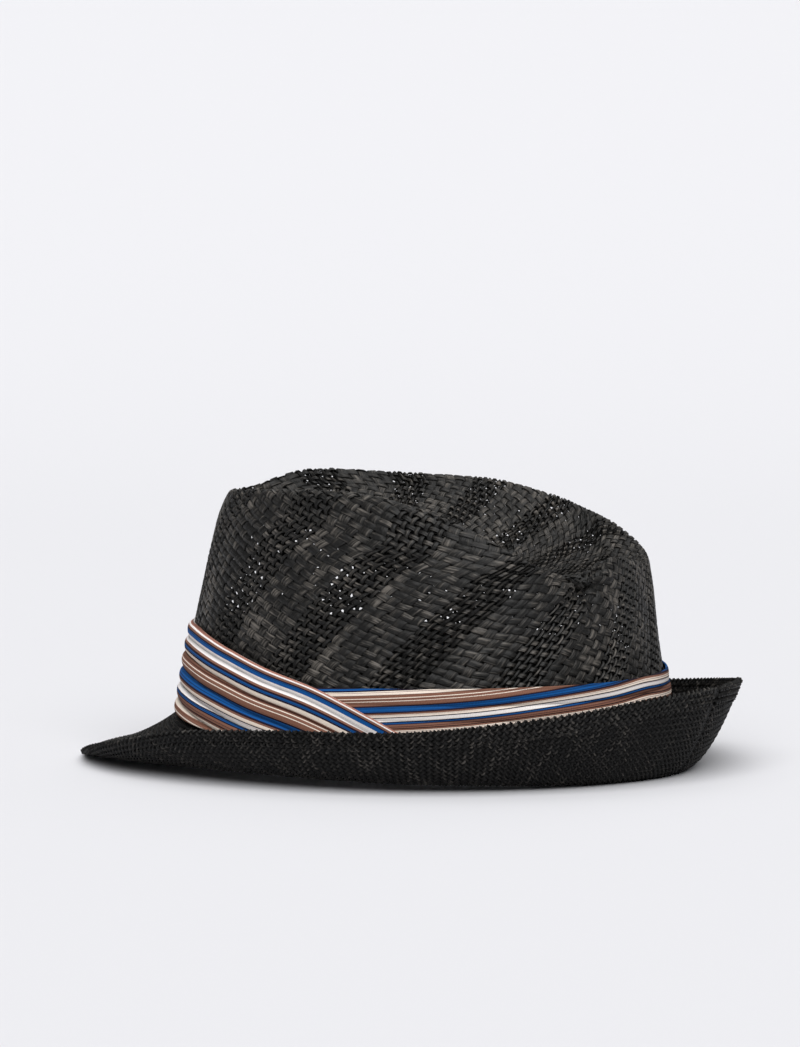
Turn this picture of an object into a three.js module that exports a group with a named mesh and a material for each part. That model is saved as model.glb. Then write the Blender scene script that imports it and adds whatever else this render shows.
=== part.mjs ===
// A trilby of woven paper straw: a teardrop crown, a short brim that is snapped down in front and
// turned up behind, and a pleated cloth band whose wide end crosses over the narrow one.
// Millimetres, +Z up. The front of the hat points towards -X and the wearer's left side is -Y.
import * as THREE from "three";

// Crown
const crownHalfLength = 104.8;
const crownHalfWidth = 84.8;
const crownHeight = 98.6;
const crownWall = 2.0;
const ridgeRoll = 6.9;

// Brim, measured from the crown to the edge
const brimWidth = 44;
const brimWall = 1.8;

// Band
const bandHeight = 38;
const bandWall = 1.2;
const pleatRelief = 0.7;
const pleatCount = 5;

// Fits
const sewnGap = 0.3;
const bandGap = 0.3;
const restDepth = 0.5;

// Facets
const sectors = 64;
const crownRings = 20;
const brimRings = 10;
const pleatSteps = 2;
const liningRows = 4;

// Searches
const halvings = 40;
const steepestTilt = 0.4;

// One row for each direction round the crown, from the centre back at 0 degrees to the centre
// front at 180, the same on both sides. ridgeX, dentX are shares of the crown's half length,
// ridgeY of its half width, and ridgeZ, dentZ and bulge of its height.
const crownRows = [
  { angle: 0, ridgeX: 0.74, ridgeY: 0, ridgeZ: 0.835, dentX: 0.58, dentZ: 0.72, bulge: 0.03 },
  { angle: 22, ridgeX: 0.735, ridgeY: 0.24, ridgeZ: 0.805, dentX: 0.55, dentZ: 0.7, bulge: 0.03 },
  { angle: 45, ridgeX: 0.71, ridgeY: 0.455, ridgeZ: 0.78, dentX: 0.47, dentZ: 0.68, bulge: 0.035 },
  { angle: 68, ridgeX: 0.618, ridgeY: 0.616, ridgeZ: 0.832, dentX: 0.3, dentZ: 0.66, bulge: 0.045 },
  { angle: 90, ridgeX: 0.39, ridgeY: 0.676, ridgeZ: 0.937, dentX: 0.08, dentZ: 0.68, bulge: 0.045 },
  { angle: 112, ridgeX: 0.009, ridgeY: 0.657, ridgeZ: 1.01, dentX: -0.17, dentZ: 0.73, bulge: 0.04 },
  { angle: 135, ridgeX: -0.409, ridgeY: 0.555, ridgeZ: 1.0, dentX: -0.42, dentZ: 0.79, bulge: 0.03 },
  { angle: 158, ridgeX: -0.738, ridgeY: 0.32, ridgeZ: 0.982, dentX: -0.62, dentZ: 0.84, bulge: 0.03 },
  { angle: 180, ridgeX: -0.88, ridgeY: 0, ridgeZ: 0.905, dentX: -0.72, dentZ: 0.86, bulge: 0.035 },
];

// The crown's section from the foot up to the ridge. up is a share of that way and out a share of
// the bulge.
const wallRows = [
  { up: 0.27, out: 0.75 },
  { up: 0.57, out: 1 },
  { up: 0.91, out: 0.85 },
];

// The crown's section from the ridge into the dent: shares of the way inwards and of the drop.
const ridgeInside = 0.22;
const hollow = { inwards: 0.6, down: 0.78 };

// One row for each direction round the brim. reach is how far the edge stands out from the crown,
// rise how high it ends and sag how far the brim hangs under that chord, as shares of its width.
const brimRows = [
  { angle: 0, reach: 0.47, rise: 0.8, sag: 0.27 },
  { angle: 22, reach: 0.5, rise: 0.76, sag: 0.255 },
  { angle: 45, reach: 0.63, rise: 0.6, sag: 0.235 },
  { angle: 68, reach: 0.75, rise: 0.42, sag: 0.235 },
  { angle: 90, reach: 0.8, rise: 0.305, sag: 0.25 },
  { angle: 112, reach: 0.84, rise: 0.127, sag: 0.25 },
  { angle: 135, reach: 0.865, rise: -0.18, sag: 0.2 },
  { angle: 158, reach: 0.845, rise: -0.43, sag: 0.1 },
  { angle: 180, reach: 0.85, rise: -0.47, sag: 0.05 },
];

// One row for each direction along the band, from the narrow end under the crossing on the left
// side, round the back, the right side and the front, to the wide end that lies over it. low and
// high are shares of the band's height, and layer is 0 on the crown and 1 over the other end.
const bandRows = [
  { angle: -112.5, low: 0.02, high: 0.6, layer: 0 },
  { angle: -97, low: 0.02, high: 0.69, layer: 0 },
  { angle: -85, low: 0.02, high: 0.76, layer: 0 },
  { angle: -65, low: 0.02, high: 0.85, layer: 0 },
  { angle: -42, low: 0.02, high: 0.91, layer: 0 },
  { angle: 0, low: 0.02, high: 0.95, layer: 0 },
  { angle: 60, low: 0.02, high: 0.94, layer: 0 },
  { angle: 120, low: 0.02, high: 0.93, layer: 0 },
  { angle: 165, low: 0.02, high: 0.95, layer: 0 },
  { angle: 190, low: 0.02, high: 0.965, layer: 0 },
  { angle: 211, low: 0.02, high: 0.965, layer: 0.25 },
  { angle: 232, low: 0.02, high: 0.88, layer: 0.9 },
  { angle: 246, low: 0.02, high: 0.78, layer: 1 },
  { angle: 261, low: 0.02, high: 0.67, layer: 1 },
  { angle: 276, low: 0.02, high: 0.47, layer: 1 },
  { angle: 288, low: 0.02, high: 0.28, layer: 1 },
  { angle: 298, low: 0.02, high: 0.14, layer: 1 },
];

const straw = new THREE.MeshStandardMaterial({ color: 0x2b2927, roughness: 0.55, metalness: 0 });
const brimStraw = new THREE.MeshStandardMaterial({ color: 0x282624, roughness: 0.6, metalness: 0 });
const cloth = new THREE.MeshStandardMaterial({ color: 0x9a7560, roughness: 0.85, metalness: 0 });

// The rows of a table that is the same on both sides, all the way round and one row past each end.
function roundTable(rows, mirroredColumn) {
  const back = rows.slice(1).reverse().map((row) => {
    const twin = { ...row, angle: -row.angle };
    if (mirroredColumn) twin[mirroredColumn] = -row[mirroredColumn];
    return twin;
  });
  const ring = [...back.slice(1), ...rows];
  const before = { ...rows[rows.length - 1], angle: -180 };
  const first = { ...rows[rows.length - 2], angle: rows[rows.length - 2].angle - 360 };
  const last = { ...ring[0], angle: ring[0].angle + 360 };
  return [first, before, ...ring, last];
}

// The value of a column at an angle, on a smooth curve through the table's rows.
function valueAt(rows, column, angle) {
  let i = 1;
  while (i < rows.length - 3 && angle > rows[i + 1].angle) i += 1;
  const [r0, r1, r2, r3] = [rows[i - 1], rows[i], rows[i + 1], rows[i + 2]];
  const span = r2.angle - r1.angle;
  const t = (angle - r1.angle) / span;
  const slope1 = ((r2[column] - r0[column]) / (r2.angle - r0.angle)) * span;
  const slope2 = ((r3[column] - r1[column]) / (r3.angle - r1.angle)) * span;
  const t2 = t * t;
  const t3 = t2 * t;
  return (2 * t3 - 3 * t2 + 1) * r1[column] + (t3 - 2 * t2 + t) * slope1
    + (3 * t2 - 2 * t3) * r2[column] + (t3 - t2) * slope2;
}

const sectorStep = 360 / sectors;
const ringAngles = Array.from({ length: sectors }, (_, s) => s * sectorStep);
const crownTable = roundTable(crownRows, "ridgeY");
const brimTable = roundTable(brimRows);
const bandStart = bandRows[0];
const bandEnd = bandRows[bandRows.length - 1];
const bandTable = [
  { ...bandStart, angle: bandStart.angle - sectorStep },
  ...bandRows,
  { ...bandEnd, angle: bandEnd.angle + sectorStep },
];

function turned(angle) {
  return ((((angle + 180) % 360) + 360) % 360) - 180;
}

// The direction straight out of the crown's foot, in plan.
function outward(angle) {
  const a = THREE.MathUtils.degToRad(angle);
  return new THREE.Vector3(Math.cos(a) / crownHalfLength, Math.sin(a) / crownHalfWidth, 0).normalize();
}

function footPoint(angle, height) {
  const a = THREE.MathUtils.degToRad(angle);
  return new THREE.Vector3(crownHalfLength * Math.cos(a), crownHalfWidth * Math.sin(a), height);
}

// The crown's section at an angle: up the wall, over the ridge and down into the dent.
function crownSection(angle) {
  const at = (column) => valueAt(crownTable, column, turned(angle));
  const foot = footPoint(angle, 0);
  const ridge = new THREE.Vector3(
    at("ridgeX") * crownHalfLength,
    at("ridgeY") * crownHalfWidth,
    at("ridgeZ") * crownHeight,
  );
  const dent = new THREE.Vector3(at("dentX") * crownHalfLength, 0, at("dentZ") * crownHeight);
  const bulge = at("bulge") * crownHeight;
  const out = outward(angle);
  const wall = wallRows.map((row) => foot.clone().lerp(ridge, row.up).addScaledVector(out, row.out * bulge));
  const inside = ridge.clone().lerp(dent, ridgeInside);
  inside.z = ridge.z - ridgeRoll;
  const basin = ridge.clone().lerp(dent, hollow.inwards);
  basin.z = ridge.z + (dent.z - ridge.z) * hollow.down;
  const points = [foot, ...wall, ridge, inside, basin, dent];
  return new THREE.CatmullRomCurve3(points, false, "centripetal");
}

// The place between low and high where isBefore turns false.
function halved(low, high, isBefore) {
  let [from, to] = [low, high];
  for (let step = 0; step < halvings; step += 1) {
    const middle = (from + to) / 2;
    if (isBefore(middle)) from = middle;
    else to = middle;
  }
  return from;
}

// A point on the crown's outer wall near its foot, at a height and a stand-off.
function wallPoint(angle, height, standOff) {
  const section = crownSection(angle);
  const share = halved(0, 0.5, (middle) => section.getPoint(middle).z < height);
  return section.getPoint(share).addScaledVector(outward(angle), standOff);
}

// The brim's upper face at an angle and a share of the way out.
function brimPoint(angle, share) {
  const at = (column) => valueAt(brimTable, column, turned(angle)) * brimWidth;
  const rise = at("rise") * share - 4 * at("sag") * share * (1 - share);
  return footPoint(angle, rise).addScaledVector(outward(angle), sewnGap + at("reach") * share);
}

function meshFrom(name, points, faces, material) {
  const geometry = new THREE.BufferGeometry();
  const values = points.flatMap((point) => [point.x, point.y, point.z]);
  geometry.setAttribute("position", new THREE.Float32BufferAttribute(values, 3));
  geometry.setIndex(faces);
  geometry.computeVertexNormals();
  const mesh = new THREE.Mesh(geometry, material);
  mesh.name = name;
  return mesh;
}

function quad(faces, a, b, c, d) {
  faces.push(a, b, c, a, c, d);
}

// The normals of a grid of points that closes on itself round each ring.
function gridNormals(rings) {
  return rings.map((ring, r) => ring.map((point, s) => {
    const along = ring[(s + 1) % ring.length].clone().sub(ring[(s + ring.length - 1) % ring.length]);
    const up = rings[Math.min(r + 1, rings.length - 1)][s].clone().sub(rings[Math.max(r - 1, 0)][s]);
    return along.cross(up).normalize();
  }));
}

// The crown: an outer and an inner skin from the foot to the floor of the dent, where the two
// sides meet along a line.
function makeCrown() {
  const sections = ringAngles.map(crownSection);
  const outer = [ringAngles.map((angle) => footPoint(angle, -brimWall))];
  for (let r = 0; r < crownRings; r += 1) {
    outer.push(sections.map((section) => section.getPoint(r / crownRings)));
  }
  const normals = gridNormals(outer);
  const inner = outer.map((ring, r) => ring.map((point, s) => {
    const inwards = r < 2 ? outward(ringAngles[s]) : normals[r][s];
    return point.clone().addScaledVector(inwards, -crownWall);
  }));
  const points = [...outer.flat(), ...inner.flat()];
  const innerStart = outer.length * sectors;
  const faces = [];
  for (let r = 0; r < outer.length - 1; r += 1) {
    for (let s = 0; s < sectors; s += 1) {
      const next = (s + 1) % sectors;
      const a = r * sectors + s;
      const b = r * sectors + next;
      quad(faces, a, b, b + sectors, a + sectors);
      quad(faces, innerStart + b, innerStart + a, innerStart + a + sectors, innerStart + b + sectors);
    }
  }
  const half = sectors / 2;
  const lineStart = points.length;
  for (const drop of [0, -crownWall]) {
    for (let s = 0; s <= half; s += 1) {
      const point = sections[s].getPoint(1);
      point.z += drop;
      points.push(point);
    }
  }
  const onLine = (s, skin) => lineStart + skin * (half + 1) + (s <= half ? s : sectors - s);
  const lastRing = (outer.length - 1) * sectors;
  for (let s = 0; s < sectors; s += 1) {
    const next = s + 1;
    const a = lastRing + s;
    const b = lastRing + (next % sectors);
    quad(faces, a, b, onLine(next, 0), onLine(s, 0));
    quad(faces, innerStart + b, innerStart + a, onLine(s, 1), onLine(next, 1));
    quad(faces, innerStart + s, innerStart + (next % sectors), next % sectors, s);
  }
  return meshFrom("crown", points, faces, straw);
}

// The brim: an upper and an under skin from the crown to the edge.
function makeBrim() {
  const upper = [];
  for (let r = 0; r <= brimRings; r += 1) {
    upper.push(ringAngles.map((angle) => brimPoint(angle, r / brimRings)));
  }
  const normals = gridNormals(upper);
  const under = upper.map((ring, r) => ring.map((point, s) => {
    const below = r === 0 ? new THREE.Vector3(0, 0, -1) : normals[r][s];
    return point.clone().addScaledVector(below, brimWall);
  }));
  const points = [...upper.flat(), ...under.flat()];
  const underStart = upper.length * sectors;
  const faces = [];
  for (let s = 0; s < sectors; s += 1) {
    const next = (s + 1) % sectors;
    for (let r = 0; r < brimRings; r += 1) {
      const a = r * sectors + s;
      const b = r * sectors + next;
      quad(faces, b, a, a + sectors, b + sectors);
      quad(faces, underStart + a, underStart + b, underStart + b + sectors, underStart + a + sectors);
    }
    const edge = brimRings * sectors;
    quad(faces, s, next, underStart + next, underStart + s);
    quad(faces, edge + next, edge + s, underStart + edge + s, underStart + edge + next);
  }
  return meshFrom("brim", points, faces, brimStraw);
}

// The band: a strip of pleated cloth, smooth against the crown and ribbed outside.
function makeBand() {
  const first = Math.round(bandStart.angle / sectorStep);
  const last = Math.floor(bandEnd.angle / sectorStep);
  const ribRows = pleatCount * pleatSteps;
  const points = [];
  const faces = [];
  const perSection = ribRows + 1 + liningRows + 1;
  for (let s = first; s <= last; s += 1) {
    const angle = s * sectorStep;
    const at = (column) => valueAt(bandTable, column, angle);
    const low = at("low") * bandHeight;
    const high = at("high") * bandHeight;
    const lift = bandGap + at("layer") * (bandWall + pleatRelief + bandGap);
    for (let row = 0; row <= ribRows; row += 1) {
      const height = low + ((high - low) * row) / ribRows;
      const relief = row % pleatSteps === 0 ? 0 : pleatRelief;
      points.push(wallPoint(angle, height, lift + bandWall + relief));
    }
    for (let row = liningRows; row >= 0; row -= 1) {
      points.push(wallPoint(angle, low + ((high - low) * row) / liningRows, lift));
    }
  }
  const sections = last - first + 1;
  for (let s = 0; s < sections - 1; s += 1) {
    const here = s * perSection;
    const beyond = here + perSection;
    for (let p = 0; p < perSection; p += 1) {
      const next = (p + 1) % perSection;
      quad(faces, here + p, beyond + p, beyond + next, here + next);
    }
  }
  closeEnd(faces, 0, ribRows, false);
  closeEnd(faces, (sections - 1) * perSection, ribRows, true);
  return meshFrom("band", points, faces, cloth);
}

// Fills one end of the band between its ribs and its lining.
function closeEnd(faces, start, ribRows, isLast) {
  const lining = (row) => start + ribRows + 1 + (liningRows - row);
  const triangle = (a, b, c) => faces.push(...(isLast ? [a, c, b] : [a, b, c]));
  let rib = 0;
  let row = 0;
  while (rib < ribRows || row < liningRows) {
    if (row < liningRows && (rib === ribRows || row / liningRows < rib / ribRows)) {
      triangle(start + rib, lining(row + 1), lining(row));
      row += 1;
    } else {
      triangle(start + rib, start + rib + 1, lining(row));
      rib += 1;
    }
  }
}

// The tilt at which the hat stands by itself, on the front of its edge and the back of its brim.
function restingTilt(mesh) {
  const position = mesh.geometry.attributes.position;
  const lowest = (tilt, isFront) => {
    let height = Infinity;
    for (let i = 0; i < position.count; i += 1) {
      if (position.getX(i) < 0 === isFront) {
        height = Math.min(height, position.getZ(i) * Math.cos(tilt) - position.getX(i) * Math.sin(tilt));
      }
    }
    return height;
  };
  const isNoseDown = (tilt) => lowest(tilt, true) < lowest(tilt, false);
  const tilt = halved(-steepestTilt, steepestTilt, isNoseDown);
  return { tilt, lift: -restDepth - lowest(tilt, true) };
}

// Presses the points that would lie under the floor flat on to it.
function pressFlat(mesh, tilt, lift) {
  const position = mesh.geometry.attributes.position;
  for (let i = 0; i < position.count; i += 1) {
    const height = position.getZ(i) * Math.cos(tilt) - position.getX(i) * Math.sin(tilt) + lift;
    if (height < 0) position.setZ(i, position.getZ(i) - height / Math.cos(tilt));
  }
  mesh.geometry.computeVertexNormals();
}

const crown = makeCrown();
const brim = makeBrim();
const band = makeBand();
const rest = restingTilt(brim);
pressFlat(brim, rest.tilt, rest.lift);

const hat = new THREE.Group();
hat.add(crown, brim, band);
hat.rotation.y = rest.tilt;
hat.updateMatrixWorld(true);
const box = new THREE.Box3().setFromObject(hat, true);
hat.position.set(-(box.min.x + box.max.x) / 2, -(box.min.y + box.max.y) / 2, rest.lift);

const group = new THREE.Group();
group.add(hat);

export default group;
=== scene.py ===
"""A trilby of woven black paper straw with a pleated, striped cloth band.

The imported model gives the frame. The crown and the brim are rebuilt here strand by strand, each
strand passing over and under those that it crosses, and the band is one long pleated strip.
Lengths are in millimetres until a mesh is made. The front of the hat points towards -X.
"""
import logging
import math
from dataclasses import dataclass, field
from enum import Enum
from typing import Iterator, NamedTuple, Sequence

import bpy
import numpy as np
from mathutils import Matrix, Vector


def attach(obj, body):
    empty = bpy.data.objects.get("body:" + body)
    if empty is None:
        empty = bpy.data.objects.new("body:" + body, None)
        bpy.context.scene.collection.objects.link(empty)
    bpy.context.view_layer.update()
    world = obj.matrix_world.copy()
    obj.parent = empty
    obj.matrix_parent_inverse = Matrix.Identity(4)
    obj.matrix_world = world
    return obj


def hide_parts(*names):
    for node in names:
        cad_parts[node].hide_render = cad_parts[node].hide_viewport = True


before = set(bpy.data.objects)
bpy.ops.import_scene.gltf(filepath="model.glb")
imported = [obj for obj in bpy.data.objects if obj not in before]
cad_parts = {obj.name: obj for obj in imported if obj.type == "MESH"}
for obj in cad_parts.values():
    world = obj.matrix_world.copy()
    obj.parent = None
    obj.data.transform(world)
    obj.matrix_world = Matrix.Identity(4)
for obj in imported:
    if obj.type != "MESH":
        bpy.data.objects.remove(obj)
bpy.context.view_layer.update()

LOG = logging.getLogger("hat")
MM = 0.001
BODY = "root"
Array = np.ndarray
Colour = tuple[float, float, float]
Socket = bpy.types.NodeSocket

# Sections of a strand, round from its left edge over its face: across, and off the surface.
LENS = ((-1, 0), (0, 1), (1, 0), (0, -1))
RIBBON = ((-1, 0), (-0.8, 0.9), (0.8, 0.9), (1, 0), (0.8, -0.9), (-0.8, -0.9))


class Family(Enum):
    """The two families of strands in a plain weave."""

    WARP = "warp"
    WEFT = "weft"


class CrownRow(NamedTuple):
    """The crown's section in one direction, as shares of its named sizes.

    near_drop is how much lower the ridge is on the wearer's left than on the right.
    """

    angle: float
    ridge_x: float
    ridge_y: float
    ridge_z: float
    dent_x: float
    dent_z: float
    bulge: float
    near_drop: float


class BrimRow(NamedTuple):
    """The brim's section in one direction, as shares of its width."""

    angle: float
    reach: float
    rise: float
    sag: float


class BandRow(NamedTuple):
    """The band at one direction: high is a share of its height, layer 1 where it lies on itself.

    pleat is how much of the pleats' depth shows, slip how far the stripes have slid down and
    gather how much cloth lies in each millimetre of height.
    """

    angle: float
    high: float
    layer: float
    pleat: float
    slip: float
    gather: float


class Stripe(NamedTuple):
    """One woven stripe of the band's cloth."""

    colour: str
    width: float


CROWN_ROWS = tuple(CrownRow(*row) for row in (
    (0, 0.74, 0, 0.835, 0.58, 0.72, 0.03, 0),
    (22, 0.735, 0.24, 0.805, 0.55, 0.7, 0.03, 0),
    (45, 0.71, 0.455, 0.78, 0.47, 0.68, 0.035, 0),
    (68, 0.618, 0.616, 0.832, 0.3, 0.66, 0.045, 0),
    (90, 0.39, 0.676, 0.937, 0.08, 0.68, 0.045, 0),
    (112, 0.009, 0.657, 1.02, -0.17, 0.73, 0.04, 0.005),
    (135, -0.409, 0.555, 1.015, -0.42, 0.79, 0.03, 0.02),
    (158, -0.745, 0.32, 1.0, -0.62, 0.84, 0.038, 0.055),
    (180, -0.9, 0, 0.915, -0.72, 0.86, 0.042, 0),
))
BRIM_ROWS = tuple(BrimRow(*row) for row in (
    (0, 0.47, 0.8, 0.27),
    (22, 0.5, 0.76, 0.255),
    (45, 0.63, 0.6, 0.235),
    (68, 0.75, 0.42, 0.235),
    (90, 0.8, 0.305, 0.25),
    (112, 0.84, 0.127, 0.25),
    (135, 0.865, -0.18, 0.2),
    (158, 0.845, -0.43, 0.1),
    (180, 0.85, -0.47, 0.05),
))
BAND_ROWS = tuple(BandRow(*row) for row in (
    (-112.5, 0.6, 0, 0.2, 7.5, 1.25),
    (-97, 0.69, 0, 0.2, 8.2, 1.25),
    (-85, 0.76, 0, 0.25, 9.3, 1.25),
    (-65, 0.85, 0, 0.3, 12, 1.27),
    (-42, 0.91, 0, 0.35, 16.5, 1.3),
    (-20, 0.935, 0, 0.4, 20, 1.3),
    (0, 0.95, 0, 0.4, 22, 1.3),
    (60, 0.94, 0, 0.5, 17, 1.2),
    (120, 0.93, 0, 0.7, 9, 1.1),
    (165, 0.95, 0, 0.9, 2, 1),
    (190, 0.965, 0, 1, 0, 1),
    (211, 0.965, 0.25, 1, 0, 1.02),
    (232, 0.88, 0.9, 0.85, 0, 1.08),
    (246, 0.78, 1, 0.65, 0, 1.13),
    (261, 0.67, 1, 0.5, 0, 1.18),
    (276, 0.47, 1, 0.35, 0, 1.3),
    (288, 0.28, 1, 0.25, 0, 1.4),
    (298, 0.14, 1, 0.1, 0, 1.5),
))
STRIPES = tuple(Stripe(*row) for row in (
    ("rose", 0.5), ("white", 0.6), ("brown", 0.8), ("navy", 0.6),
    ("blue", 1.7), ("white", 2.9), ("brown", 0.9), ("navy", 0.7),
    ("blue", 1.0), ("navy", 0.85), ("cream", 1.8), ("brown", 1.6),
    ("cream", 0.5), ("brown", 1.1), ("cream", 0.5), ("brown", 2.0),
    ("navy", 0.6), ("blue", 2.7), ("navy", 0.6), ("brown", 0.8),
    ("cream", 1.5), ("navy", 0.5), ("white", 1.7), ("navy", 0.5),
    ("blue", 0.7), ("navy", 0.5), ("brown", 0.9), ("navy", 0.3),
    ("brown", 0.8), ("navy", 0.3), ("brown", 0.7), ("cream", 1.6),
    ("brown", 1.7), ("cream", 0.5), ("brown", 2.2), ("cream", 0.5),
    ("brown", 1.9), ("navy", 0.5), ("white", 1.4), ("blue", 1.6),
    ("brown", 2.4), ("cream", 0.9), ("brown", 2.6), ("white", 1.2),
))


def column(rows: Sequence[NamedTuple], name: str, angles: Array) -> Array:
    """Reads a column of a table on a smooth curve through its rows.

    Args:
        rows: The table, with its angles rising.
        name: The column.
        angles: Where to read it, in degrees.

    Returns:
        The column's value at each angle.
    """
    at = np.array([row.angle for row in rows], float)
    value = np.array([getattr(row, name) for row in rows], float)
    slope = np.empty_like(value)
    slope[1:-1] = (value[2:] - value[:-2]) / (at[2:] - at[:-2])
    slope[0] = (value[1] - value[0]) / (at[1] - at[0])
    slope[-1] = (value[-1] - value[-2]) / (at[-1] - at[-2])
    i = np.clip(np.searchsorted(at, angles, side="right") - 1, 0, len(at) - 2)
    span = at[i + 1] - at[i]
    t = np.clip((angles - at[i]) / span, 0, 1)
    return (
        (2 * t**3 - 3 * t**2 + 1) * value[i]
        + (t**3 - 2 * t**2 + t) * slope[i] * span
        + (3 * t**2 - 2 * t**3) * value[i + 1]
        + (t**3 - t**2) * slope[i + 1] * span
    )


def all_round(rows: Sequence[NamedTuple], mirrored: str = "") -> list[NamedTuple]:
    """Spreads a table that is the same on both sides from -202 to 202 degrees.

    Args:
        rows: The rows from the back, at 0 degrees, to the front, at 180.
        mirrored: A column that changes sign on the other side.

    Returns:
        The rows all the way round, and one past each end.
    """

    def twin(row: NamedTuple, angle: float) -> NamedTuple:
        """Mirrors a row.

        Args:
            row: The row.
            angle: The mirror image's own angle.

        Returns:
            The mirror image.
        """
        changed = {"angle": angle}
        if mirrored:
            changed[mirrored] = -getattr(row, mirrored)
        return row._replace(**changed)

    left = [twin(row, -row.angle) for row in reversed(rows[1:])]
    before = rows[-2]._replace(angle=rows[-2].angle - 360)
    after = twin(rows[-2], 360 - rows[-2].angle)
    return [before, *left, *rows, after]


def turned(angles: Array) -> Array:
    """Brings angles between -180 and 180 degrees."""
    return (angles + 180) % 360 - 180


def unit(vectors: Array) -> Array:
    """Scales vectors to a length of one."""
    return vectors / np.maximum(np.linalg.norm(vectors, axis=-1, keepdims=True), 1e-9)


def run_length(line: Array) -> Array:
    """How far along a line each of its points lies."""
    return np.concatenate([[0], np.cumsum(np.linalg.norm(np.diff(line, axis=0), axis=1))])


def between(places: Array, at: Array, points: Array) -> Array:
    """Points read between others, which are given with where they are."""
    return np.stack([np.interp(places, at, points[:, axis]) for axis in range(3)], -1)


def resampled(line: Array, count: int) -> Array:
    """Moves a line's points along it to even distances.

    Args:
        line: The line's points.
        count: How many to make of them.

    Returns:
        The new points.
    """
    length = run_length(line)
    return between(np.linspace(0, length[-1], count), length, line)


def wander(seed: int, places: Array, reach: float) -> Array:
    """A smooth random wander along a line, between -1 and 1.

    Args:
        seed: Which wander it is.
        places: Where to read it.
        reach: About how far apart its hills are.

    Returns:
        The wander at each place.
    """
    draw = np.random.default_rng(seed % 2**31)
    phases = draw.uniform(0, 2 * math.pi, 3)
    speeds = draw.uniform(0.7, 1.6, 3) * 2 * math.pi / reach
    return sum(np.sin(places * speed + phase) for speed, phase in zip(speeds, phases)) / 3


@dataclass
class Form:
    """The hat's driving sizes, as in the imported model, and how it stands on the floor.

    wall_bulge pairs shares of the way up the crown's wall with shares of its bulge. roll_in and
    basin_in are shares of the way from the ridge to the dent's middle, basin_down of the way down.
    """

    crown_half_length: float = 104.8
    crown_half_width: float = 84.8
    crown_height: float = 98.6
    wall_bulge: tuple[tuple[float, float], ...] = ((0.27, 0.75), (0.57, 1), (0.91, 0.85))
    ridge_roll: float = 6.9
    roll_in: float = 0.22
    basin_in: float = 0.6
    basin_down: float = 0.78
    brim_width: float = 44
    band_height: float = 38
    sewn_gap: float = 0.3
    tilt_deg: float = 4.599
    shift_x: float = 6.902
    lift: float = 10.605
    floor_gap: float = 0.02

    def foot(self, angles: Array, heights: Array) -> Array:
        """Finds points over the crown's foot.

        Args:
            angles: The direction of each point, in degrees.
            heights: Its height.

        Returns:
            The points.
        """
        a = np.radians(angles)
        x, y = self.crown_half_length * np.cos(a), self.crown_half_width * np.sin(a)
        return np.stack([x, y, heights], -1)

    def outward(self, angles: Array) -> Array:
        """Finds the directions straight out of the crown's foot, in plan.

        Args:
            angles: The direction of each place on the foot, in degrees.

        Returns:
            A unit vector for each.
        """
        a = np.radians(angles)
        x, y = np.cos(a) / self.crown_half_length, np.sin(a) / self.crown_half_width
        return unit(np.stack([x, y, 0 * a], -1))

    def even_angles(self, count: int) -> Array:
        """Finds angles that are evenly spaced along the crown's foot.

        Args:
            count: How many there are in a full turn.

        Returns:
            The angles, in degrees, and one past them that closes the turn.
        """
        fine = np.linspace(0, 360, 3601)
        length = run_length(self.foot(fine, 0 * fine))
        return np.interp(np.linspace(0, length[-1], count + 1), length, fine)

    def sections(self, angles: Array, steps: int) -> Array:
        """Draws the crown's sections: up the wall, over the ridge and down into the dent.

        Args:
            angles: The direction of each section, in degrees.
            steps: How many points each has.

        Returns:
            Points by angle and step.
        """
        rows = all_round(CROWN_ROWS, "ridge_y")
        at = {name: column(rows, name, turned(angles)) for name in CrownRow._fields[1:]}
        foot = self.foot(angles, 0 * angles)
        is_near = turned(angles) < 0
        ridge = np.stack([
            at["ridge_x"] * self.crown_half_length,
            at["ridge_y"] * self.crown_half_width,
            (at["ridge_z"] - at["near_drop"] * is_near) * self.crown_height,
        ], -1)
        dent = np.stack([
            at["dent_x"] * self.crown_half_length, 0 * angles, at["dent_z"] * self.crown_height
        ], -1)
        out = self.outward(angles) * (at["bulge"] * self.crown_height)[:, None]
        wall = [foot + (ridge - foot) * up + out * share for up, share in self.wall_bulge]
        inside = ridge + (dent - ridge) * self.roll_in
        inside[:, 2] = ridge[:, 2] - self.ridge_roll
        basin = ridge + (dent - ridge) * self.basin_in
        basin[:, 2] = ridge[:, 2] + (dent[:, 2] - ridge[:, 2]) * self.basin_down
        return smooth_curve([foot, *wall, ridge, inside, basin, dent], steps)

    def brim_profile(
        self, angles: Array, shares: Array
    ) -> tuple[Array, Array]:
        """Draws the brim's upper face in section.

        Args:
            angles: The direction of each section, in degrees.
            shares: The shares of the way out at which it is read.

        Returns:
            How far out and how high the face is, by angle and share.
        """
        rows = all_round(BRIM_ROWS)
        reach, rise, sag = (
            column(rows, name, turned(angles))[:, None] * self.brim_width
            for name in ("reach", "rise", "sag")
        )
        share = shares[None, :]
        return self.sewn_gap + reach * share, rise * share - 4 * sag * share * (1 - share)

    def stand(self, points: Array) -> Array:
        """Tilts and lifts points of the upright hat to where it rests on the floor.

        Args:
            points: The upright hat's points.

        Returns:
            The points of the resting hat, kept just above the floor.
        """
        tilt = math.radians(self.tilt_deg)
        x, y, z = points[..., 0], points[..., 1], points[..., 2]
        return np.stack([
            x * math.cos(tilt) + z * math.sin(tilt) + self.shift_x,
            y,
            np.maximum(z * math.cos(tilt) - x * math.sin(tilt) + self.lift, self.floor_gap),
        ], -1)


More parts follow.
